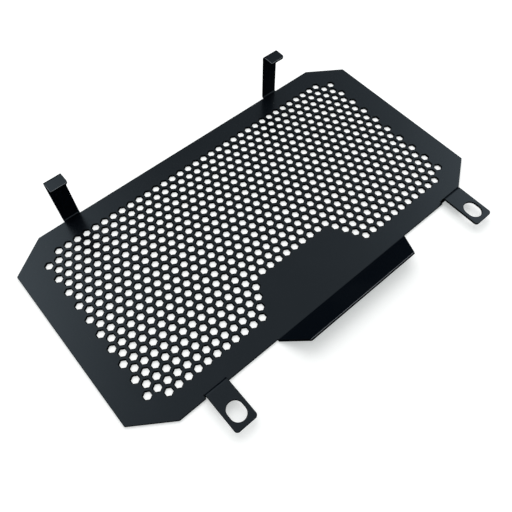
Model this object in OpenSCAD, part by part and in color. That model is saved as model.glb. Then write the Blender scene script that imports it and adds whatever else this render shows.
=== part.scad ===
// Motorcycle radiator guard: one sheet of steel, cut, pierced with a honeycomb and folded.
// It lies on its outer face. +Z points to the radiator, and all folds rise that way.
// X runs along the guard, and +Y is the side of the two hooks. Lengths are in millimetres.

/* [Sheet] */
// Thickness of the sheet
sheet_t = 1.5; // [1:0.1:2]
// Inside radius of every fold
bend_r = 0.8; // [0.5:0.1:1.2]

/* [Panel] */
// Length of the panel, along X
panel_w = 291; // [240:1:350]
// Breadth of the panel, along Y
panel_l = 155; // [125:1:190]
// How much of the long edges each cut corner takes
corner_w = 25; // [15:1:35]
// How much of the short edges each cut corner takes
corner_l = 17; // [10:1:25]

/* [Honeycomb] */
// Size of a hexagonal hole, across its flats
hole_af = 5.1; // [4:0.1:6.5]
// Width of the metal between two holes
web_w = 1.9; // [1.2:0.1:3]
// Least distance from a hole's centre to the long edges and to the cut corners
border = 14; // [10:0.5:20]
// Least distance from a hole's centre to the short edges
side_border = 18; // [12:0.5:26]

/* [Plain patch] */
// Width of the patch without holes, at its inner end
patch_w = 59.5; // [40:0.5:90]
// How far the patch reaches in from the edge that carries the ears
patch_l = 38; // [24:0.5:50]
// Lean of the patch's sides, from the Y direction
patch_lean = 30; // [15:1:45]

/* [Hooks] */
// Width of a hook
hook_w = 12; // [8:0.5:18]
// Height of the left hook above the panel's upper face
hook_left_h = 41; // [25:0.5:60]
// Height of the right hook above the panel's upper face
hook_right_h = 38; // [25:0.5:60]
// How far a hook's tip reaches back over the panel, from the hook's outer face
hook_reach = 10; // [7:0.5:16]
// Radius of the left corner of a hook's tip
hook_left_r = 0.5; // [0.5:0.5:3.5]
// Radius of the right corner of a hook's tip
hook_right_r = 2; // [0.5:0.5:3.5]
// Distance from the left cut corner to the left hook
hook_left_inset = 19.5; // [5:0.5:45]
// Distance from the right cut corner to the right hook
hook_right_inset = 32.5; // [5:0.5:60]

/* [Ears] */
// Width of an ear
ear_w = 15.5; // [13:0.5:22]
// How far an ear reaches out from the edge of the panel
ear_reach = 27; // [23:0.5:36]
// How far an ear stands above the panel, face to face
ear_step = 5; // [4:0.5:12]
// Radius of the corners at an ear's end
ear_corner_r = 2.2; // [1:0.1:5]
// How far inside the edge of the panel an ear's fold starts
ear_inset = 2.5; // [0.5:0.25:3]
// Width of the relief cut on each side of an ear's fold
relief_w = 0.5; // [0.5:0.1:2]
// Width of an ear's slot
slot_w = 10.2; // [6:0.1:11]
// Length of an ear's slot
slot_l = 12.8; // [11.5:0.1:16]
// Metal between the slot and the ear's end
slot_margin = 3.2; // [2:0.1:6]
// Distance from the left cut corner to the left ear
ear_left_inset = 18.75; // [0.5:0.25:30]
// Distance from the right cut corner to the right ear
ear_right_inset = 1.25; // [0.5:0.25:30]

/* [Flap] */
// Width of the flap at the panel
flap_root_w = 112; // [90:1:130]
// Width of the flap at its free edge
flap_tip_w = 89; // [60:1:110]
// Depth of the flap, along its own face
flap_l = 18.5; // [12:0.5:26]
// Angle of the flap above the panel
flap_angle = 37; // [20:1:60]
// Place of the middle of the flap along X
flap_x = 8; // [-15:1:20]

/* [Hidden] */
$fn = 64;

// The honeycomb's rows run along X, and every second row is moved by half a pitch.
pitch = hole_af + web_w;
row_pitch = pitch * sin(60);
// A circle with six sides has its size across the corners.
hole_d = hole_af / cos(30);
rows = floor((panel_l / 2 - border) / row_pitch);
columns = ceil((panel_w / 2 - side_border) / pitch);

// Outer radius of a fold, which is also how far a fold of 90 degrees carries the sheet outwards
fold_r = bend_r + sheet_t;

// The guard's outline runs from the hooks' outer faces to the ears' ends. The origin is under
// its middle, and the panel's middle and its two long edges are placed from there.
panel_y = (ear_reach - fold_r) / 2;
far_edge = panel_y + panel_l / 2;
near_edge = panel_y - panel_l / 2;

// The long edges are straight as far as the cut corners, and the hooks and ears are placed
// along them from there.
edge_end = panel_w / 2 - corner_w;
hook_places = [
    hook_left_inset + hook_w / 2 - edge_end,
    edge_end - hook_right_inset - hook_w / 2
];
ear_places = [
    ear_left_inset + ear_w / 2 - edge_end,
    edge_end - ear_right_inset - ear_w / 2
];
ear_root = panel_y + (ear_inset - panel_l / 2);

// Distance from a point of one quarter of the panel to the line of its cut corner
function corner_gap(x, y) =
    ((panel_w / 2 - abs(x)) * corner_l + (panel_l / 2 - abs(y)) * corner_w - corner_w * corner_l)
    / norm([corner_w, corner_l]);

// Is a hole's centre inside the borders?
function in_border(x, y) =
    abs(x) <= panel_w / 2 - side_border
    && abs(y) <= panel_l / 2 - border
    && corner_gap(x, y) >= border;

// Is a hole's centre on the plain patch?
function in_patch(x, y) =
    let (depth = patch_l - panel_l / 2 - y)
    depth >= 0 && abs(x) < patch_w / 2 + depth * tan(patch_lean);

// Outline of the panel: a rectangle with its four corners cut
module panel_outline() {
    x = panel_w / 2;
    y = panel_l / 2;
    polygon([
        [-x, corner_l - y], [corner_w - x, -y], [x - corner_w, -y], [x, corner_l - y],
        [x, y - corner_l], [x - corner_w, y], [corner_w - x, y], [-x, y - corner_l]
    ]);
}

// Hexagonal holes with two flats across X, so that every web has the same width
module honeycomb() {
    for (row = [-rows : rows], column = [-columns : columns]) {
        x = (column + (row % 2 == 0 ? 0.5 : 0)) * pitch;
        y = row * row_pitch;
        if (in_border(x, y) && !in_patch(x, y))
            translate([x, y]) rotate(30) circle(d = hole_d, $fn = 6);
    }
}

// Cuts that free the ears' folds from the edge of the panel
module ear_reliefs() {
    for (x = ear_places)
        translate([x, -panel_l / 2]) square([ear_w + 2 * relief_w, 2 * ear_inset], center = true);
}

// Outline of a strip's free end, from the origin towards +Y, with its two corners rounded
module strip_end(width, length, left_r, right_r) {
    for (side = [-1, 1]) {
        r = side < 0 ? left_r : right_r;
        translate([side * width / 4, (length - r) / 2])
            square([width / 2, length - r], center = true);
        translate([side * (width / 2 - r) / 2, length / 2])
            square([width / 2 - r, length], center = true);
        translate([side * (width / 2 - r), length - r]) circle(r);
    }
}

// Slot with round ends, its length along Y
module slot(width, length) {
    straight = length - width;
    square([width, straight], center = true);
    for (side = [-1, 1]) translate([0, side * straight / 2]) circle(d = width);
}

// Fold of the sheet about a line along X, from the origin towards +Y.
// A positive angle folds up and a negative one down, and the children go on from its end.
module fold(width, angle) {
    centre_z = angle > 0 ? fold_r : -bend_r;
    start = angle > 0 ? -90 : 90 - abs(angle);
    translate([0, 0, centre_z]) {
        rotate([90, 0, 90]) rotate(start) rotate_extrude(angle = abs(angle))
            translate([bend_r, -width / 2]) square([sheet_t, width]);
        rotate([angle, 0, 0]) translate([0, 0, -centre_z]) children();
    }
}

// Flat stretch of a strip, from the origin towards +Y, and the children go on from its end
module run(width, length) {
    translate([-width / 2, 0, 0]) cube([width, length, sheet_t]);
    translate([0, length, 0]) children();
}

// Flat panel with its honeycomb
module panel() {
    translate([0, panel_y, 0]) linear_extrude(sheet_t) difference() {
        panel_outline();
        honeycomb();
        ear_reliefs();
    }
}

// Strip that stands up from the far edge and is turned back over the panel
module hook(height) {
    fold(hook_w, 90)
        run(hook_w, height - bend_r - fold_r)
            fold(hook_w, 90)
                linear_extrude(sheet_t)
                    strip_end(hook_w, hook_reach - fold_r, hook_left_r, hook_right_r);
}

// Raised strip with a slot for a screw, along +Y
module ear() {
    plate_l = ear_reach + ear_inset - fold_r - bend_r;
    fold(ear_w, 90)
        run(ear_w, ear_step - bend_r - fold_r)
            fold(ear_w, -90)
                linear_extrude(sheet_t) difference() {
                    strip_end(ear_w, plate_l, ear_corner_r, ear_corner_r);
                    translate([0, plate_l - slot_margin - slot_l / 2]) slot(slot_w, slot_l);
                }
}

// Tapered flap along +Y, folded up to steer the air
module flap() {
    fold(flap_root_w, flap_angle)
        linear_extrude(sheet_t) polygon([
            [-flap_root_w / 2, 0], [flap_root_w / 2, 0],
            [flap_tip_w / 2, flap_l], [-flap_tip_w / 2, flap_l]
        ]);
}

// The whole guard: the panel, and the strips that are folded up from its long edges
module radiator_guard() {
    color("#26282b") {
        panel();
        translate([hook_places[0], far_edge, 0]) hook(hook_left_h);
        translate([hook_places[1], far_edge, 0]) hook(hook_right_h);
        for (x = ear_places) translate([x, ear_root, 0]) rotate(180) ear();
        translate([flap_x, near_edge, 0]) rotate(180) flap();
    }
}

radiator_guard();
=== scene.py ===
"""Studio scene of a motorcycle radiator guard: one folded, pierced and powder-coated sheet."""
import logging
import math
from dataclasses import dataclass, field, replace
from enum import Enum
from typing import Any, Union

import bmesh
import bpy
import numpy as np
from mathutils import Matrix, Vector
from mathutils.geometry import delaunay_2d_cdt


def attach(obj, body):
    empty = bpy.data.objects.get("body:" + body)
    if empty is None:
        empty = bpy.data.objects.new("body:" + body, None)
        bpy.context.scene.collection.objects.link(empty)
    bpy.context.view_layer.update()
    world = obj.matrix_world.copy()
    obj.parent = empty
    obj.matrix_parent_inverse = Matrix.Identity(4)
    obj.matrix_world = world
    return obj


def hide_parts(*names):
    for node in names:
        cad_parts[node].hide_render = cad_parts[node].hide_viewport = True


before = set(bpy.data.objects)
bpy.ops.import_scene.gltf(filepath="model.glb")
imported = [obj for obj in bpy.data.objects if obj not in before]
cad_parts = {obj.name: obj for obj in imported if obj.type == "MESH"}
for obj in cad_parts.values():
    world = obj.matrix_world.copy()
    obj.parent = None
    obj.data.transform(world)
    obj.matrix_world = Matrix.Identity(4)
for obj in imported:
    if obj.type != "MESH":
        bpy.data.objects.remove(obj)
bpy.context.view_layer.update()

log = logging.getLogger("radiator_guard")

MM = 0.001
TINY = 1e-6
Pair = tuple[float, float]
Triple = tuple[float, float, float]


# Node maths


class Term:
    """A node's output socket that takes part in Python arithmetic."""

    def __init__(self, bench: "Bench", socket: bpy.types.NodeSocket) -> None:
        """Wraps a socket.

        Args:
            bench: The node bench that the socket belongs to.
            socket: The output socket.
        """
        self.bench = bench
        self.socket = socket

    def _math(self, operation: str, *values: Any) -> "Term":
        """Adds a Math node and returns its result."""
        return self.bench.put(
            "ShaderNodeMath", {"operation": operation}, dict(enumerate(values))
        )

    def __add__(self, other: Any) -> "Term":
        """self + other."""
        return self._math("ADD", self, other)

    def __radd__(self, other: Any) -> "Term":
        """other + self."""
        return self._math("ADD", other, self)

    def __sub__(self, other: Any) -> "Term":
        """self - other."""
        return self._math("SUBTRACT", self, other)

    def __rsub__(self, other: Any) -> "Term":
        """other - self."""
        return self._math("SUBTRACT", other, self)

    def __mul__(self, other: Any) -> "Term":
        """self * other."""
        return self._math("MULTIPLY", self, other)

    def __rmul__(self, other: Any) -> "Term":
        """other * self."""
        return self._math("MULTIPLY", other, self)

    def __truediv__(self, other: Any) -> "Term":
        """self / other."""
        return self._math("DIVIDE", self, other)

    def __rtruediv__(self, other: Any) -> "Term":
        """other / self."""
        return self._math("DIVIDE", other, self)

    def __pow__(self, other: Any) -> "Term":
        """self ** other."""
        return self._math("POWER", self, other)

    def __mod__(self, other: Any) -> "Term":
        """self % other, never negative for a positive other."""
        return self._math("FLOORED_MODULO", self, other)

    def __abs__(self) -> "Term":
        """abs(self)."""
        return self._math("ABSOLUTE", self)

    def __lt__(self, other: Any) -> "Term":
        """1 where self is less than other, otherwise 0."""
        return self._math("LESS_THAN", self, other)

    def __gt__(self, other: Any) -> "Term":
        """1 where self is more than other, otherwise 0."""
        return self._math("GREATER_THAN", self, other)

    def nearest(self) -> "Term":
        """The nearest whole number."""
        return self._math("ROUND", self)

    def tangent(self) -> "Term":
        """The tangent of self, an angle in radians."""
        return self._math("TANGENT", self)

    def most(self, other: Any) -> "Term":
        """The greater of self and other."""
        return self._math("MAXIMUM", self, other)

    def fade(self, low: float, high: float) -> "Term":
        """Rises smoothly from 0 where self is low to 1 where self is high."""
        return self.bench.put(
            "ShaderNodeMapRange",
            {"interpolation_type": "SMOOTHSTEP"},
            {"Value": self, "From Min": low, "From Max": high},
        )


class Bench:
    """Adds nodes to one tree and wires them."""

    def __init__(self, tree: bpy.types.NodeTree) -> None:
        """Empties a tree and takes it over.

        Args:
            tree: A shader, world or geometry node tree.
        """
        self.tree = tree
        tree.nodes.clear()

    def put(
        self,
        kind: str,
        settings: Union[dict[str, Any], None] = None,
        values: Union[dict[Union[str, int], Any], None] = None,
        out: Union[str, int] = 0,
    ) -> Term:
        """Adds a node.

        Args:
            kind: The node's type.
            settings: Its own settings, such as an operation.
            values: What its input sockets hold: a Term is linked, anything else is set.
            out: The output that is wanted, by name or by number.

        Returns:
            The wanted output as a Term, or as it is for a node without outputs.
        """
        node = self.tree.nodes.new(kind)
        for name, value in (settings or {}).items():
            setattr(node, name, value)
        for name, value in (values or {}).items():
            socket = node.inputs[name]
            if isinstance(value, Term):
                self.tree.links.new(value.socket, socket)
            else:
                socket.default_value = value
        return Term(self, node.outputs[out] if node.outputs else None)

    def noise(self, place: Term, scale: float, detail: float = 1.0, rough: float = 0.55) -> Term:
        """Noise at a place on the object, 0 to 1, with scale in waves per metre."""
        values = {"Vector": place, "Scale": scale, "Detail": detail, "Roughness": rough}
        return self.put("ShaderNodeTexNoise", {"noise_dimensions": "3D"}, values)

    def dot(self, first: Term, second: Triple) -> Term:
        """The dot product of a vector socket and three numbers."""
        return self.put(
            "ShaderNodeVectorMath", {"operation": "DOT_PRODUCT"}, {0: first, 1: second}, "Value"
        )

    def mix(self, factor: Term, first: Any, second: Any) -> Term:
        """Mixes two colours, each a Term or three numbers."""
        whole = [c if isinstance(c, Term) else (*c, 1.0) for c in (first, second)]
        return self.put(
            "ShaderNodeMix", {"data_type": "RGBA"}, {0: factor, 6: whole[0], 7: whole[1]}, 2
        )

    def object_place(self) -> Term:
        """The place on the object, in metres."""
        return self.put("ShaderNodeTexCoord", out="Object")


# Finishes


@dataclass(frozen=True)
class PowderCoat:
    """Black powder coat, baked on: nearly black, satin, with a fine peel and a little dust."""

    name: str
    colour: Triple = (0.0002, 0.0014, 0.0034)
    worn_colour: Triple = (0.0010, 0.0024, 0.0046)
    dust_colour: Triple = (0.22, 0.22, 0.21)
    wear_scale: float = 24.0
    wear_detail: float = 3.0
    wear_fade: Pair = (0.42, 0.66)
    roughness: float = 0.24
    roughness_swing: float = 0.06
    grain_swing: float = 0.05
    specular: float = 0.5
    refraction: float = 1.5
    peel_scale: float = 900.0
    peel_detail: float = 2.0
    peel_depth: float = 0.004 * MM
    grain_scale: float = 5200.0
    grain_depth: float = 0.0008 * MM
    dusty: bool = True
    dust_roughness: float = 0.4
    speck_scale: float = 260.0
    speck_fade: Pair = (0.030, 0.055)
    drift_scale: float = 70.0
    drift_fade: Pair = (0.66, 0.72)

    def material(self) -> bpy.types.Material:
        """Makes the material.

        Returns:
            The material, on Object coordinates.
        """
        made = bpy.data.materials.new(self.name)
        made.use_nodes = True
        made.diffuse_color = (*self.colour, 1.0)
        bench = Bench(made.node_tree)
        place = bench.object_place()

        wear = bench.noise(place, self.wear_scale, self.wear_detail)
        peel = bench.noise(place, self.peel_scale, self.peel_detail)
        grain = bench.noise(place, self.grain_scale)

        colour = bench.mix(wear.fade(*self.wear_fade), self.colour, self.worn_colour)
        rough = self.roughness + (wear - 0.5) * self.roughness_swing
        rough = rough + (grain - 0.5) * self.grain_swing
        if self.dusty:
            dust = self._dust(bench, place)
            colour = bench.mix(dust, colour, self.dust_colour)
            rough = rough + dust * self.dust_roughness

        height = peel * self.peel_depth + grain * self.grain_depth
        normal = bench.put(
            "ShaderNodeBump", {}, {"Height": height, "Strength": 1.0, "Distance": 1.0}
        )
        surface = bench.put(
            "ShaderNodeBsdfPrincipled",
            {},
            {
                "Base Color": colour,
                "Roughness": rough,
                "Specular IOR Level": self.specular,
                "IOR": self.refraction,
                "Normal": normal,
            },
        )
        bench.put("ShaderNodeOutputMaterial", {}, {"Surface": surface})
        return made

    def _dust(self, bench: Bench, place: Term) -> Term:
        """A few specks of dust, far apart: 1 on a speck and 0 between them."""
        speck = bench.put(
            "ShaderNodeTexVoronoi",
            {"feature": "F1"},
            {"Vector": place, "Scale": self.speck_scale, "Randomness": 1.0},
            "Distance",
        )
        drift = bench.noise(place, self.drift_scale).fade(*self.drift_fade)
        return (1 - speck.fade(*self.speck_fade)) * drift


class Finish(Enum):
    """The guard's finishes: the satin coat, a near-black cut finish that is painted shade, and a
    painted highlight on some rims.
    """

    FACE = PowderCoat("satin_black_powder_coat")
    # Cut faces, the holes' walls and their rolled rims: coated metal, made near black and almost
    # without reflection as painted shade in the holes and along the edges.
    CUT = PowderCoat(
        "cut_faces_black_as_painted_shade",
        colour=(0.0006, 0.0007, 0.0009),
        worn_colour=(0.0010, 0.0011, 0.0013),
        roughness=0.70,
        roughness_swing=0.05,
        specular=0.05,
        dusty=False,
    )
    # Painted highlight: light grey on the tips' rims and the hooks' left rims, standing in for the
    # light that these rounded rims catch.
    HIGHLIGHT_RIM = PowderCoat(
        "rims_with_painted_highlight",
        colour=(0.20, 0.22, 0.24),
        worn_colour=(0.27, 0.29, 0.31),
        roughness=0.45,
        dusty=False,
    )


# The sheet and its parts


@dataclass(frozen=True)
class Stock:
    """The sheet that the guard is cut and folded from, in millimetres."""

    thickness: float = 1.5
    bend_radius: float = 0.8
    edge_radius: float = 0.20
    edge_steps: int = 3
    fold_steps: int = 8

    @property
    def fold_radius(self) -> float:
        """Outer radius of a fold."""
        return self.bend_radius + self.thickness

    @property
    def middle_radius(self) -> float:
        """Radius of a fold at the middle of the sheet."""
        return self.bend_radius + self.thickness / 2

    def edge_rings(self) -> list[Pair]:
        """Section of a cut edge: pairs of an inset and a height, from the upper face down."""
        r, steps = self.edge_radius, self.edge_steps
        quarter = [
            (r * (1 - math.sin(a)), r * (1 - math.cos(a)))
            for a in (math.pi / 2 * i / steps for i in range(steps + 1))
        ]
        upper = [(inset, self.thickness - drop) for inset, drop in quarter]
        lower = [(inset, drop) for inset, drop in reversed(quarter)]
        return upper + lower


@dataclass(frozen=True)
class Fold:
    """A fold of the sheet, or with an angle of 0 a flat stretch, along a strip."""

    length: float
    angle: float = 0.0


@dataclass(frozen=True)
class Strip:
    """A strip that grows out of one of the panel's long edges and is folded up."""

    name: str
    centre: float
    root_width: float
    tip_width: float
    side: int
    chain: tuple[Fold, ...]
    corners: Pair
    slot: Union[Triple, None] = None
    inset: float = 0.0
    relief: float = 0.0
    # Sides whose rim gets the painted highlight.
    highlight_rims: tuple[str, ...] = ()

    @property
    def reach(self) -> float:
        """Length of the strip when it is laid flat."""
        return sum(part.length for part in self.chain)

    @property
    def turned(self) -> bool:
        """Whether the sheet's upper face looks down at the strip's end."""
        return sum(part.angle for part in self.chain) > 90

    def half_width(self, along: float) -> float:
        """Half the width at a distance along the flat strip; the last stretch may taper."""
        last = self.chain[-1].length
        part = max(0.0, along - (self.reach - last)) / last
        return (self.root_width + (self.tip_width - self.root_width) * part) / 2

    def stations(self, steps: int) -> list[float]:
        """Distances along the flat strip at which the folds need a line."""
        found, start = [], 0.0
        for part in self.chain[:-1]:
            count = max(3, round(steps * abs(part.angle) / 90)) if part.angle else 1
            found += [start + part.length * i / count for i in range(1, count + 1)]
            start += part.length
        return found

    def place(self, stock: Stock, along: float, height: float) -> Pair:
        """Folds one point.

        Args:
            stock: The sheet.
            along: Distance of the point along the flat strip.
            height: Height of the point in the sheet, from its outer face.

        Returns:
            How far out and how high the point is once the strip is folded.
        """
        out, up, heading = 0.0, 0.0, 0.0
        rest = along
        for index, part in enumerate(self.chain):
            final = index == len(self.chain) - 1
            share = rest if final else min(rest, part.length)
            turn = math.radians(part.angle) * share / part.length
            if part.angle > 0:
                radius = stock.fold_radius
                step = (radius * math.sin(turn), radius - radius * math.cos(turn))
            elif part.angle < 0:
                radius = stock.bend_radius
                step = (radius * math.sin(-turn), radius * math.cos(turn) - radius)
            else:
                step = (share, 0.0)
            out += step[0] * math.cos(heading) - step[1] * math.sin(heading)
            up += step[0] * math.sin(heading) + step[1] * math.cos(heading)
            heading += turn
            rest -= share
            if rest < TINY:
                break
        return out - height * math.sin(heading), up + height * math.cos(heading)


@dataclass(frozen=True)
class Panel:
    """The flat panel: a rectangle with cut corners, in millimetres."""

    width: float = 291.0
    length: float = 155.0
    corner_width: float = 25.0
    corner_length: float = 17.0
    middle: float = 0.0

    @property
    def edge_end(self) -> float:
        """How far from the middle the long edges are straight, as far as the cut corners."""
        return self.width / 2 - self.corner_width

    @property
    def far_edge(self) -> float:
        """Y of the edge that carries the hooks."""
        return self.middle + self.length / 2

    @property
    def near_edge(self) -> float:
        """Y of the edge that carries the ears and the flap."""
        return self.middle - self.length / 2


@dataclass
class Honeycomb:
    """The field of hexagonal holes, made of one cell that Geometry Nodes repeat."""

    panel: Panel
    stock: Stock
    across_flats: float = 5.1
    web: float = 1.9
    border: float = 14.0
    side_border: float = 18.0
    patch_width: float = 59.5
    patch_length: float = 38.0
    patch_lean: float = 30.0
    corner_radius: float = 0.35
    rolled_rim: float = 0.56
    rim_middle: float = 0.29
    lower_rim: float = 0.10
    coat: float = 0.30
    weld: float = 0.02

    @property
    def pitch(self) -> float:
        """Distance between two holes."""
        return self.across_flats + self.web

    @property
    def row_pitch(self) -> float:
        """Distance between two rows."""
        return self.pitch * math.sin(math.radians(60))

    @staticmethod
    def _hexagon(across: float, radius: float = 0.0) -> list[Pair]:
        """Hexagon with two flats across X, and with a radius two points for each corner."""
        corner = across / 2 / math.cos(math.radians(30))
        trim = radius * math.tan(math.radians(30))
        points = []
        for k in range(6):
            a = math.radians(30 + 60 * k)
            for b in (a - math.radians(120), a + math.radians(120)) if radius else (a,):
                x = corner * math.cos(a) + trim * math.cos(b)
                y = corner * math.sin(a) + trim * math.sin(b)
                points.append((x, y))
        return points

    def cell(self) -> bpy.types.Object:
        """Makes one cell: a hexagonal tile of the sheet with its hole and rounded rims.

        Returns:
            The cell as an object, with the face attribute cut_face on the hole's wall.
        """
        t, rim, low_rim = self.stock.thickness, self.rolled_rim, self.lower_rim
        mid = rim * self.rim_middle
        outer = self._hexagon(self.pitch)
        sides = len(outer)
        verts = [(x, y, t) for x, y in outer] + [(x, y, 0.0) for x, y in outer]
        rings = []
        for wider, z in ((rim, t), (mid, t - mid), (0, t - rim), (0, low_rim), (low_rim, 0)):
            grown = wider - self.coat
            ring = self._hexagon(self.across_flats + 2 * grown, self.corner_radius + grown)
            rings.append(range(len(verts), len(verts) + len(ring)))
            verts += [(x, y, z) for x, y in ring]
        faces = []
        top, low = rings[0], rings[-1]
        for k in range(sides):
            n = (k + 1) % sides
            a, b, c = 2 * k, 2 * k + 1, 2 * n
            faces += [(k, top[b], top[a]), (k, n, top[c], top[b])]
            faces += [(sides + k, low[a], low[b]), (sides + k, low[b], low[c], sides + n)]
        cut = [False] * len(faces)
        for upper, lower in zip(rings, rings[1:]):
            for k in range(len(upper)):
                n = (k + 1) % len(upper)
                faces.append((upper[k], upper[n], lower[n], lower[k]))
                cut.append(True)
        mesh = bpy.data.meshes.new("honeycomb_cell")
        mesh.from_pydata([(x * MM, y * MM, z * MM) for x, y, z in verts], [], faces)
        mesh.attributes.new("cut_face", "BOOLEAN", "FACE").data.foreach_set("value", cut)
        made = bpy.data.objects.new("honeycomb_cell", mesh)
        bpy.context.scene.collection.objects.link(made)
        return made

    def tree(self, values: dict[str, Any]) -> tuple[bpy.types.NodeTree, dict[str, str]]:
        """Makes the tree that lays the cells out.

        Args:
            values: What its inputs will hold, by name. They give the kinds of the sockets.

        Returns:
            The tree, and the identifier of each named input.
        """
        tree = bpy.data.node_groups.new("honeycomb_field", "GeometryNodeTree")
        bench = Bench(tree)
        tree.interface.new_socket("Geometry", in_out="OUTPUT", socket_type="NodeSocketGeometry")
        kinds = {
            bpy.types.Object: "NodeSocketObject",
            bpy.types.Material: "NodeSocketMaterial",
            int: "NodeSocketInt",
            float: "NodeSocketFloat",
        }
        sockets = {
            name: tree.interface.new_socket(name, in_out="INPUT", socket_type=kinds[type(value)])
            for name, value in values.items()
        }
        group = tree.nodes.new("NodeGroupInput")
        given = {name: Term(bench, group.outputs[name]) for name in values}

        grid = bench.put(
            "GeometryNodeMeshGrid",
            {},
            {
                "Size X": given["Columns"] * 2 * given["Pitch"],
                "Size Y": given["Rows"] * 2 * given["Row Pitch"],
                "Vertices X": given["Columns"] * 2 + 1,
                "Vertices Y": given["Rows"] * 2 + 1,
            },
        )
        x, y = self._place(bench)
        row = (y / given["Row Pitch"]).nearest()
        shift = (1 - row % 2) * given["Pitch"] / 2
        lattice = bench.put(
            "GeometryNodeSetPosition",
            {},
            {"Geometry": grid, "Offset": bench.put("ShaderNodeCombineXYZ", {}, {"X": shift})},
        )
        points = bench.put(
            "GeometryNodeDeleteGeometry",
            {"domain": "POINT"},
            {"Geometry": lattice, "Selection": self._left_out(bench, given)},
        )
        points = bench.put(
            "GeometryNodeSetPosition",
            {},
            {
                "Geometry": points,
                "Offset": bench.put("ShaderNodeCombineXYZ", {}, {"Y": given["Middle"]}),
            },
        )
        cell = bench.put("GeometryNodeObjectInfo", {}, {"Object": given["Cell"]}, "Geometry")
        cells = bench.put(
            "GeometryNodeInstanceOnPoints", {}, {"Points": points, "Instance": cell}
        )
        whole = bench.put("GeometryNodeRealizeInstances", {}, {"Geometry": cells})
        whole = bench.put(
            "GeometryNodeMergeByDistance", {}, {"Geometry": whole, "Distance": given["Weld"]}
        )
        # The holes' walls and rolled rims get the near-black cut finish, which is painted shade.
        walls = bench.put(
            "GeometryNodeInputNamedAttribute", {"data_type": "BOOLEAN"}, {"Name": "cut_face"}
        )
        whole = bench.put(
            "GeometryNodeSetMaterial", {}, {"Geometry": whole, "Material": given["Face Finish"]}
        )
        whole = bench.put(
            "GeometryNodeSetMaterial",
            {},
            {"Geometry": whole, "Selection": walls, "Material": given["Cut Finish"]},
        )
        bench.put("NodeGroupOutput", {}, {"Geometry": whole})
        return tree, {name: socket.identifier for name, socket in sockets.items()}

    @staticmethod
    def _place(bench: Bench) -> tuple[Term, Term]:
        """X and Y of the point that is looked at."""
        split = bench.put(
            "ShaderNodeSeparateXYZ", {}, {0: bench.put("GeometryNodeInputPosition")}
        )
        return split, Term(bench, split.socket.node.outputs[1])

    def _left_out(self, bench: Bench, given: dict[str, Term]) -> Term:
        """1 at a place of the lattice that has no hole, otherwise 0."""
        x, y = self._place(bench)
        beside = given["Panel Width"] / 2 - abs(x)
        beyond = given["Panel Length"] / 2 - abs(y)
        corner = (given["Corner Width"] ** 2 + given["Corner Length"] ** 2) ** 0.5
        cut = (
            beside * given["Corner Length"]
            + beyond * given["Corner Width"]
            - given["Corner Width"] * given["Corner Length"]
        ) / corner
        outside = (
            (beside < given["Side Border"])
            .most(beyond < given["Border"])
            .most(cut < given["Border"])
        )
        depth = given["Patch Length"] - given["Panel Length"] / 2 - y
        side = given["Patch Width"] / 2 + depth * given["Patch Lean"].tangent()
        return outside.most((depth > 0) * (abs(x) < side))

    def mesh(self, face: bpy.types.Material, cut: bpy.types.Material) -> bpy.types.Mesh:
        """Makes the whole field as a plain mesh.

        Args:
            face: The finish of the sheet's two faces.
            cut: The finish of the holes' walls.

        Returns:
            The mesh, in place.
        """
        cell = self.cell()
        carrier = bpy.data.objects.new("honeycomb_field", bpy.data.meshes.new("field"))
        bpy.context.scene.collection.objects.link(carrier)
        values = {
            "Cell": cell,
            "Face Finish": face,
            "Cut Finish": cut,
            "Pitch": self.pitch * MM,
            "Row Pitch": self.row_pitch * MM,
            "Columns": math.ceil((self.panel.width / 2 - self.side_border) / self.pitch),
            "Rows": math.floor((self.panel.length / 2 - self.border) / self.row_pitch),
            "Border": self.border * MM,
            "Side Border": self.side_border * MM,
            "Panel Width": self.panel.width * MM,
            "Panel Length": self.panel.length * MM,
            "Corner Width": self.panel.corner_width * MM,
            "Corner Length": self.panel.corner_length * MM,
            "Patch Width": self.patch_width * MM,
            "Patch Length": self.patch_length * MM,
            "Patch Lean": math.radians(self.patch_lean),
            "Middle": self.panel.middle * MM,
            "Weld": self.weld * MM,
        }
        tree, named = self.tree(values)
        modifier = carrier.modifiers.new("Honeycomb", "NODES")
        modifier.node_group = tree
        for name, value in values.items():
            modifier[named[name]] = value
        depsgraph = bpy.context.evaluated_depsgraph_get()
        made = bpy.data.meshes.new_from_object(carrier.evaluated_get(depsgraph))
        carrier.modifiers.clear()
        for helper in (carrier, cell):
            bpy.data.objects.remove(helper)
        return made


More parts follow.
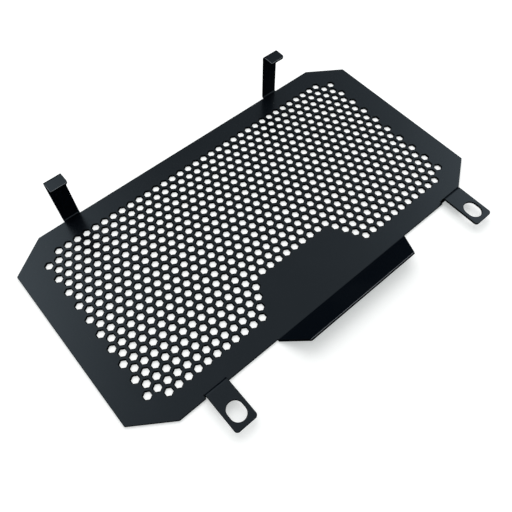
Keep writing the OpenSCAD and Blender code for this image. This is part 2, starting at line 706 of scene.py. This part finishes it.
@dataclass
class Guard:
    """The radiator guard: the panel with its honeycomb, two hooks, two ears and a flap."""

    stock: Stock = field(default_factory=Stock)
    panel: Panel = field(default_factory=Panel)
    hook_width: float = 12.0
    hook_heights: Pair = (41.0, 38.0)
    hook_reach: float = 10.0
    hook_corners: Pair = (0.5, 2.0)
    hook_insets: Pair = (19.5, 32.5)
    ear_width: float = 15.5
    ear_reach: float = 27.0
    ear_step: float = 5.0
    ear_inset: float = 2.5
    ear_corner: float = 2.2
    relief_width: float = 0.06
    relief_lip: float = 0.02
    ear_insets: Pair = (18.75, 1.25)
    slot_width: float = 10.2
    slot_length: float = 12.8
    slot_margin: float = 3.2
    flap_root: float = 112.0
    flap_tip: float = 89.0
    flap_length: float = 18.5
    flap_angle: float = 37.0
    flap_place: float = 8.0
    flap_corner: float = 0.8
    corner_radius: float = 0.9
    root_gap: float = 0.35
    arc_step: float = 15.0
    slot_points: int = 48

    def __post_init__(self) -> None:
        """Puts the origin midway between the hooks' outer faces and the ears' ends."""
        middle = (self.ear_reach - self.stock.fold_radius) / 2
        self.panel = replace(self.panel, middle=middle)

    def places(self, insets: Pair, width: float) -> Pair:
        """X of a left and a right strip, each placed from its cut corner."""
        end, half = self.panel.edge_end, width / 2
        return (insets[0] + half - end, end - insets[1] - half)

    def strips(self) -> list[Strip]:
        """The strips that are folded up from the panel's two long edges."""
        stock = self.stock
        bend, fold = stock.bend_radius, stock.fold_radius
        quarter = math.pi / 2 * stock.middle_radius
        hooks = [
            (
                Fold(quarter, 90),
                Fold(height - bend - fold),
                Fold(quarter, 90),
                Fold(self.hook_reach - fold),
            )
            for height in self.hook_heights
        ]
        plate = self.ear_reach + self.ear_inset - fold - bend
        ear = (
            Fold(quarter, 90),
            Fold(self.ear_step - bend - fold),
            Fold(quarter, -90),
            Fold(plate),
        )
        ear_flat = sum(part.length for part in ear)
        slot = (
            self.slot_width,
            self.slot_length,
            ear_flat - self.slot_margin - self.slot_length / 2,
        )
        flap = (
            Fold(math.radians(self.flap_angle) * stock.middle_radius, self.flap_angle),
            Fold(self.flap_length),
        )
        strips = [
            Strip(
                name, x, self.hook_width, self.hook_width, 1, chain, self.hook_corners,
                # The hooks' tips and left sides get the painted highlight on their rims.
                highlight_rims=("tip", "left"),
            )
            for name, x, chain in zip(
                ("left_hook", "right_hook"), self.places(self.hook_insets, self.hook_width), hooks
            )
        ]
        corners = (self.ear_corner, self.ear_corner)
        strips += [
            Strip(
                name, x, self.ear_width, self.ear_width, -1, ear, corners,
                slot, self.ear_inset, self.relief_width,
            )
            for name, x in zip(
                ("left_ear", "right_ear"), self.places(self.ear_insets, self.ear_width)
            )
        ]
        corners = (self.flap_corner, self.flap_corner)
        strips.append(
            Strip(
                "flap", self.flap_place, self.flap_root, self.flap_tip, -1, flap, corners,
                # The flap's tip gets the painted highlight on its rim.
                highlight_rims=("tip",),
            )
        )
        return strips

    def root_y(self, strip: Strip) -> float:
        """Y at which a strip's first fold starts."""
        edge = self.panel.far_edge if strip.side > 0 else self.panel.near_edge
        return edge - strip.side * strip.inset

    def outline(self) -> list[Pair]:
        """Outline of the blank laid flat, anticlockwise, with its small corner radii."""
        p, soft = self.panel, self.corner_radius
        corners: list[Triple] = []
        for side, edge in ((-1, p.near_edge), (1, p.far_edge)):
            x, end = side * p.width / 2, side * p.edge_end
            corner_y = edge - side * p.corner_length
            strips = [strip for strip in self.strips() if strip.side == side]
            corners += [(x, corner_y, soft), (end, edge, soft)]
            for strip in sorted(strips, key=lambda s: -side * s.centre):
                corners += self._strip_corners(strip)
            corners += [(-end, edge, soft), (-x, corner_y, soft)]
        return self._eased(corners)

    def _strip_corners(self, strip: Strip) -> list[Triple]:
        """One strip's part of the outline, with a point on each side at every fold line."""
        edge, side = self.root_y(strip), strip.side
        left, right = strip.corners if side < 0 else strip.corners[::-1]
        stations = strip.stations(self.stock.fold_steps)
        tip = strip.half_width(strip.reach)

        def point(x: float, along: float, radius: float = 0.0) -> Triple:
            """A corner at x from the strip's middle and along its length."""
            return (strip.centre - side * x, edge + side * along, radius)

        root = strip.root_width / 2
        wide = root + strip.relief
        going = [point(-root, 0.0)]
        going += [point(-strip.half_width(d), d) for d in stations]
        going += [point(-tip, strip.reach, left)]
        coming = [point(tip, strip.reach, right)]
        coming += [point(strip.half_width(d), d) for d in reversed(stations)]
        coming += [point(root, 0.0)]
        if not strip.relief:
            beside = root + self.root_gap
            return [point(-beside, 0.0)] + going + coming + [point(beside, 0.0)]
        lip = self.stock.edge_radius + self.relief_lip
        before = [point(-wide, strip.inset, lip), point(-wide, 0.0)]
        after = [point(wide, 0.0), point(wide, strip.inset, lip)]
        return before + going + coming + after

    def _eased(self, corners: list[Triple]) -> list[Pair]:
        """Turns corners that have a radius into short arcs."""
        points: list[Pair] = []
        count = len(corners)
        for i, (x, y, radius) in enumerate(corners):
            here = Vector((x, y))
            if radius <= 0:
                points.append((x, y))
                continue
            before = (Vector(corners[i - 1][:2]) - here).normalized()
            after = (Vector(corners[(i + 1) % count][:2]) - here).normalized()
            half = before.angle(after) / 2
            trim = radius / math.tan(half)
            centre = here + (before + after).normalized() * radius / math.sin(half)
            start, end = here + before * trim - centre, here + after * trim - centre
            turn = start.angle_signed(end)
            steps = max(3, round(math.degrees(abs(turn)) / self.arc_step))
            for k in range(steps + 1):
                spot = centre + Matrix.Rotation(-turn * k / steps, 2) @ start
                points.append((spot.x, spot.y))
        return points

    def slots(self) -> list[list[Pair]]:
        """Outlines of the ears' slots laid flat, clockwise."""
        found = []
        for strip in self.strips():
            if strip.slot is None:
                continue
            width, length, along = strip.slot
            y = self.root_y(strip) + strip.side * along
            straight, radius = (length - width) / 2, width / 2
            loop = []
            for k in range(self.slot_points):
                a = -2 * math.pi * (k + 0.5) / self.slot_points
                rise = math.copysign(straight, math.sin(a))
                loop.append((strip.centre + radius * math.cos(a), y + rise + radius * math.sin(a)))
            found.append(loop)
        return found

    def folded(self, x: float, y: float, z: float) -> Triple:
        """Where a point of the flat blank is once the strips are folded, in millimetres."""
        for strip in self.strips():
            root = self.root_y(strip)
            along = (y - root) * strip.side
            if along > TINY and abs(x - strip.centre) < strip.root_width / 2 + TINY:
                out, up = strip.place(self.stock, along, z)
                return (x, root + strip.side * out, up)
        return (x, y, z)


def miters(loop: np.ndarray) -> np.ndarray:
    """Outward directions at the points of a loop, long enough to offset it evenly.

    Args:
        loop: The loop's points, anticlockwise round the metal.

    Returns:
        One direction for each point.
    """
    run = np.roll(loop, -1, axis=0) - loop
    run /= np.linalg.norm(run, axis=1)[:, None]
    after = np.stack([run[:, 1], -run[:, 0]], axis=1)
    before = np.roll(after, 1, axis=0)
    total = before + after
    return total / (1 + np.sum(before * after, axis=1))[:, None]


def inside(points: np.ndarray, loops: list[np.ndarray], batch: int = 512) -> np.ndarray:
    """Whether points lie inside an odd number of loops.

    Args:
        points: The points.
        loops: Closed loops.
        batch: How many points are tested at once, which bounds the memory.

    Returns:
        One truth value for each point.
    """
    crossings = np.zeros(len(points), dtype=int)
    for a in loops:
        b = np.roll(a, -1, axis=0)
        rise = np.where(b[:, 1] == a[:, 1], 1.0, b[:, 1] - a[:, 1])
        for start in range(0, len(points), batch):
            some = slice(start, start + batch)
            x, y = points[some, 0:1], points[some, 1:2]
            spans = (a[:, 1] > y) != (b[:, 1] > y)
            at = a[:, 0] + (y - a[:, 1]) / rise * (b[:, 0] - a[:, 0])
            crossings[some] += np.sum(spans & (x < at), axis=1)
    return crossings % 2 == 1


class GuardMesh:
    """Builds the guard's mesh: the honeycomb, the plain metal round it and the cut edges."""

    weld = 0.004 * MM
    snap = 0.0001
    squarely = 1.2
    tip_depth = 1.0
    finishes = (Finish.FACE, Finish.CUT, Finish.HIGHLIGHT_RIM)

    def __init__(self, guard: Guard, honeycomb: Honeycomb) -> None:
        """Keeps the parts' sizes.

        Args:
            guard: The panel and its strips.
            honeycomb: The field of holes.
        """
        self.guard = guard
        self.honeycomb = honeycomb
        self.materials = [finish.value.material() for finish in self.finishes]
        self.number = {finish: index for index, finish in enumerate(self.finishes)}

    def build(self) -> bpy.types.Object:
        """Makes the finished piece.

        Returns:
            The guard as one object, its place in its mesh.
        """
        face_finish, cut_finish, _ = self.materials
        field_mesh = self.honeycomb.mesh(face_finish, cut_finish)
        order = [int(material == cut_finish) for material in field_mesh.materials]
        bm = bmesh.new()
        bm.from_mesh(field_mesh)
        skin = bm.faces.layers.int.new("skin")
        for face in bm.faces:
            face.material_index = order[face.material_index]
            face[skin] = int(face.material_index == self.number[Finish.FACE])
        seams = self._open_loops(bm)
        log.info("honeycomb: %d faces, %d seams", len(bm.faces), len(seams))
        self._add_plain_metal(bm, seams, skin)
        bmesh.ops.remove_doubles(bm, verts=bm.verts[:], dist=self.weld)
        bm.normal_update()
        open_edges = sum(1 for edge in bm.edges if len(edge.link_faces) != 2)
        log.info("guard: %d faces, %d open edges", len(bm.faces), open_edges)
        log.info("guard: %.1f mm3", bm.calc_volume(signed=True) / MM**3)
        mesh = bpy.data.meshes.new("powder_coated_guard")
        bm.to_mesh(mesh)
        bm.free()
        for material in self.materials:
            mesh.materials.append(material)
        self._shade(mesh)
        made = bpy.data.objects.new("powder_coated_guard", mesh)
        bpy.context.scene.collection.objects.link(made)
        return made

    def _open_loops(self, bm: bmesh.types.BMesh) -> list[np.ndarray]:
        """The field's open border on the upper face, as closed loops in millimetres."""
        top = self.guard.stock.thickness * MM - self.weld
        following: dict[Any, Any] = {}
        for edge in bm.edges:
            if len(edge.link_faces) == 1 and all(v.co.z > top for v in edge.verts):
                corner = edge.link_loops[0]
                following[corner.vert] = corner.link_loop_next.vert
        loops = []
        while following:
            start, here = following.popitem()
            chain = [start]
            while here is not start:
                chain.append(here)
                here = following.pop(here)
            loops.append(np.array([(v.co.x / MM, v.co.y / MM) for v in chain]))
        return loops

    def _add_plain_metal(
        self, bm: bmesh.types.BMesh, seams: list[np.ndarray], skin: Any
    ) -> None:
        """Adds both faces of the metal without holes, and the rounded cut edges.

        Args:
            bm: The mesh that is being built.
            seams: The loops where the honeycomb begins.
            skin: The layer that marks faces on the sheet's two sides.
        """
        guard, stock = self.guard, self.guard.stock
        rings = stock.edge_rings()
        outlines = [np.array(guard.outline())] + [np.array(s) for s in guard.slots()]
        points: list[Pair] = []
        edges: list[tuple[int, int]] = []
        borders = []
        for loop in outlines:
            outward = miters(loop)
            inner = loop - outward * rings[0][0]
            borders.append((loop, outward, inner, len(points)))
            edges += self._closed(len(points), len(loop))
            points += [tuple(p) for p in inner]
        for loop in seams:
            edges += self._closed(len(points), len(loop))
            points += [tuple(p) for p in loop]
        edges += self._fold_lines(outlines[0])

        flat, _, triangles, _, _, _ = delaunay_2d_cdt(
            [Vector(p) for p in points], edges, [], 0, self.snap
        )
        log.info("plain metal: %d points in, %d out", len(points), len(flat))
        place = np.array([tuple(p) for p in flat])
        middles = np.array([place[list(t)].mean(axis=0) for t in triangles])
        keep = inside(middles, [inner for _, _, inner, _ in borders] + seams)

        upper = [bm.verts.new(self._metres(*p, stock.thickness)) for p in place]
        lower = [bm.verts.new(self._metres(*p, 0.0)) for p in place]
        for triangle, kept in zip(triangles, keep):
            if not kept:
                continue
            for verts, order in ((upper, 1), (lower, -1)):
                made = bm.faces.new([verts[i] for i in triangle][::order])
                made[skin] = 1

        for loop, outward, _, _ in borders:
            self._add_edge(bm, loop, outward, rings)

    def _add_edge(
        self,
        bm: bmesh.types.BMesh,
        loop: np.ndarray,
        outward: np.ndarray,
        rings: list[Pair],
    ) -> None:
        """Adds the rounded cut edge along one loop."""
        made = [
            [
                bm.verts.new(self._metres(*(loop[i] - outward[i] * inset), height))
                for i in range(len(loop))
            ]
            for inset, height in rings
        ]
        highlit = self._highlight_rims(loop, outward)
        steps = self.guard.stock.edge_steps
        for level, (above, below) in enumerate(zip(made, made[1:])):
            rim = 1 if level < steps - 1 else -1 if level > steps + 1 else 0
            for i in range(len(loop)):
                n = (i + 1) % len(loop)
                face = bm.faces.new((above[i], below[i], below[n], above[n]))
                # Chosen rims get the painted highlight; every other edge face gets the near-black
                # cut finish, which is painted shade.
                finish = Finish.HIGHLIGHT_RIM if rim and highlit[i] == rim else Finish.CUT
                face.material_index = self.number[finish]

    def _highlight_rims(self, loop: np.ndarray, outward: np.ndarray) -> np.ndarray:
        """Where a rim gets the painted highlight, for each stretch of a cut edge.

        Args:
            loop: The edge's points in the flat blank.
            outward: The edge's outward directions.

        Returns:
            1 where it is the rim of the upper face, -1 that of the lower face, otherwise 0.
        """
        middles = (loop + np.roll(loop, -1, axis=0)) / 2
        facing = outward + np.roll(outward, -1, axis=0)
        highlit = np.zeros(len(loop), dtype=int)
        for strip in self.guard.strips():
            along = (middles[:, 1] - self.guard.root_y(strip)) * strip.side
            near = abs(middles[:, 0] - strip.centre) < strip.root_width / 2 + TINY
            last = near & (along > strip.reach - strip.chain[-1].length)
            tip = along > strip.reach - self.tip_depth
            sides = {
                "tip": tip & (facing[:, 1] * strip.side > self.squarely),
                "left": facing[:, 0] < -self.squarely,
            }
            for side in strip.highlight_rims:
                highlit[last & sides[side]] = -1 if strip.turned else 1
        return highlit

    @staticmethod
    def _closed(first: int, count: int) -> list[tuple[int, int]]:
        """Edges of a closed loop, given its first point's number and its count of points."""
        return [(first + i, first + (i + 1) % count) for i in range(count)]

    def _fold_lines(self, outline: np.ndarray) -> list[tuple[int, int]]:
        """Lines across the strips, from one side of the outline to the other."""
        lines = []
        for strip in self.guard.strips():
            edge = self.guard.root_y(strip)
            for along in [0.0] + strip.stations(self.guard.stock.fold_steps):
                half = strip.half_width(along)
                y = edge + strip.side * along
                ends = [
                    int(np.argmin(np.hypot(outline[:, 0] - x, outline[:, 1] - y)))
                    for x in (strip.centre - half, strip.centre + half)
                ]
                lines.append((ends[0], ends[1]))
        return lines

    def _metres(self, x: float, y: float, z: float) -> Vector:
        """The place of a point of the flat blank once it is folded, in metres."""
        return Vector(self.guard.folded(float(x), float(y), z)) * MM

    @staticmethod
    def _shade(mesh: bpy.types.Mesh) -> None:
        """Shades the mesh smooth, with the flat faces kept flat up to their rounded edges."""
        count = len(mesh.polygons)
        mesh.polygons.foreach_set("use_smooth", [True] * count)
        skin, sizes = np.zeros(count, dtype=np.int32), np.zeros(count, dtype=np.int32)
        normals, areas = np.zeros(count * 3), np.zeros(count)
        corner = np.zeros(len(mesh.loops), dtype=np.int32)
        mesh.attributes["skin"].data.foreach_get("value", skin)
        mesh.polygons.foreach_get("loop_total", sizes)
        mesh.polygons.foreach_get("normal", normals)
        mesh.polygons.foreach_get("area", areas)
        mesh.loops.foreach_get("vertex_index", corner)
        weighted = normals.reshape(-1, 3) * areas[:, None]
        owner = np.repeat(np.arange(count), sizes)
        on_skin = skin[owner] == 1
        flat = np.zeros((len(mesh.vertices), 3))
        every = np.zeros((len(mesh.vertices), 3))
        np.add.at(flat, corner[on_skin], weighted[owner[on_skin]])
        np.add.at(every, corner, weighted[owner])
        has_skin = np.linalg.norm(flat, axis=1) > 0
        final = np.where(has_skin[:, None], flat, every)
        final /= np.linalg.norm(final, axis=1)[:, None]
        mesh.normals_split_custom_set_from_vertices([tuple(n) for n in final])
        mesh.attributes.remove(mesh.attributes["skin"])


# The studio


@dataclass(frozen=True)
class Glow:
    """A soft bright or dark patch of the studio's ceiling, towards one direction."""

    direction: Triple
    level: float
    spread: float


@dataclass
class Studio:
    """White floor and surroundings, a soft ceiling, one lamp and the camera, in metres."""

    floor_size: float = 8.0
    floor_height: float = -0.0001
    floor_colour: Triple = (0.80, 0.80, 0.80)
    floor_lift: float = 0.40
    floor_tint: Triple = (0.955, 1.0, 0.99)
    floor_mirrored: Triple = (0.006, 0.014, 0.024)
    side_light: float = 0.30
    top_light: float = 0.63
    lean: Triple = (0.42, 0.74, 0.0)
    ceiling: float = 0.50
    darkest: float = 0.02
    cool: Triple = (0.82, 1.00, 1.13)
    glows: tuple[Glow, ...] = (
        Glow((-0.35, 0.68, 0.64), 1.40, 0.19),
        Glow((0.86, -0.30, 0.46), 1.55, 0.30),
        Glow((-0.30, -0.85, 0.35), 0.60, 0.50),
        Glow((0.30, 0.95, 0.00), -0.80, 0.36),
        Glow((0.40, 0.80, 0.45), -0.20, 0.22),
        Glow((0.40, -0.52, 0.76), -1.30, 0.24),
    )
    lamp_place: Triple = (0.35, 0.75, 1.15)
    lamp_size: Pair = (1.5, 1.1)
    lamp_power: float = 6.5
    camera_place: Triple = (-0.1333, -0.14285, 0.30295)
    camera_look: Triple = (0.3247, 0.3732, -0.8691)
    camera_up: Triple = (0.5643, 0.6610, 0.4946)
    lens: float = 37.72
    sensor: float = 36.0
    near_clip: float = 0.01

    def build(self) -> None:
        """Sets up the view, the world, the floor, the lamp and the camera."""
        bpy.context.scene.view_settings.view_transform = "Standard"
        self._world()
        self._floor()
        self._lamp()
        self._camera()

    @staticmethod
    def _ray(bench: Bench, kind: str) -> Term:
        """1 for rays of one kind, otherwise 0."""
        return bench.put("ShaderNodeLightPath", out=f"Is {kind} Ray")

    def _world(self) -> None:
        """White to the camera, and a soft ceiling with brighter patches to the light."""
        world = bpy.data.worlds.new("white_studio")
        world.use_nodes = True
        bpy.context.scene.world = world
        bench = Bench(world.node_tree)
        towards = bench.put("ShaderNodeTexCoord", out="Generated")
        height = bench.put("ShaderNodeSeparateXYZ", {}, {0: towards}, "Z").most(0.0)
        level: Any = self.ceiling
        for glow in self.glows:
            near = bench.dot(towards, tuple(Vector(glow.direction).normalized()))
            level = level + near.fade(1 - glow.spread, 1.0) * glow.level
        camera = self._ray(bench, "Camera")
        mirrored = self._ray(bench, "Glossy") * (1 - camera)
        lit = (self.side_light + height * self.top_light) * (1 + bench.dot(towards, self.lean))
        strength = camera + mirrored * level.most(self.darkest) + (1 - camera - mirrored) * lit
        tint = bench.mix(mirrored, (1.0, 1.0, 1.0), self.cool)
        back = bench.put("ShaderNodeBackground", {}, {"Color": tint, "Strength": strength})
        bench.put("ShaderNodeOutputWorld", {}, {"Surface": back})

    def _floor(self) -> None:
        """White floor that keeps the guard's shadow, and that the guard mirrors only faintly."""
        half = self.floor_size / 2
        corners = ((-half, -half), (half, -half), (half, half), (-half, half))
        mesh = bpy.data.meshes.new("floor")
        mesh.from_pydata([(x, y, self.floor_height) for x, y in corners], [], [(0, 1, 2, 3)])
        floor = bpy.data.objects.new("floor", mesh)
        bpy.context.scene.collection.objects.link(floor)
        made = bpy.data.materials.new("white_floor")
        made.use_nodes = True
        bench = Bench(made.node_tree)
        matt = bench.put("ShaderNodeBsdfDiffuse", {}, {"Color": (*self.floor_colour, 1.0)})
        seen = self._ray(bench, "Camera").most(self._ray(bench, "Transmission"))
        lift = bench.put(
            "ShaderNodeEmission",
            {},
            {"Color": (*self.floor_tint, 1.0), "Strength": seen * self.floor_lift},
        )
        both = bench.put("ShaderNodeAddShader", {}, {0: matt, 1: lift})
        dim = bench.put(
            "ShaderNodeEmission", {}, {"Color": (*self.floor_mirrored, 1.0), "Strength": 1.0}
        )
        mirrored = self._ray(bench, "Glossy")
        mixed = bench.put("ShaderNodeMixShader", {}, {0: mirrored, 1: both, 2: dim})
        bench.put("ShaderNodeOutputMaterial", {}, {"Surface": mixed})
        mesh.materials.append(made)

    def _lamp(self) -> None:
        """A soft lamp behind the guard. It casts the shadows, and no ray mirrors it."""
        data = bpy.data.lights.new("rear_softbox", "AREA")
        data.shape = "RECTANGLE"
        data.size, data.size_y = self.lamp_size
        data.energy = self.lamp_power
        lamp = bpy.data.objects.new("rear_softbox", data)
        lamp.location = self.lamp_place
        lamp.rotation_euler = (-Vector(self.lamp_place)).to_track_quat("-Z", "Y").to_euler()
        lamp.visible_glossy = False
        bpy.context.scene.collection.objects.link(lamp)

    def _camera(self) -> None:
        """The camera, where the photograph was taken from."""
        data = bpy.data.cameras.new("camera")
        data.sensor_width = self.sensor
        data.lens = self.lens
        data.clip_start = self.near_clip
        camera = bpy.data.objects.new("camera", data)
        back = -Vector(self.camera_look).normalized()
        right = Vector(self.camera_up).cross(back).normalized()
        up = back.cross(right)
        turn = Matrix((right, up, back)).transposed()
        camera.matrix_world = Matrix.Translation(self.camera_place) @ turn.to_4x4()
        bpy.context.scene.collection.objects.link(camera)
        bpy.context.scene.camera = camera


def main() -> None:
    """Builds the guard and the studio round it."""
    logging.basicConfig(level=logging.INFO, format="%(name)s: %(message)s")
    guard = Guard()
    honeycomb = Honeycomb(guard.panel, guard.stock)
    piece = GuardMesh(guard, honeycomb).build()
    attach(piece, "root")
    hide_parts("radiator_guard")
    log.info("%s: %d vertices", piece.name, len(piece.data.vertices))
    Studio().build()


if __name__ == "__main__":
    main()
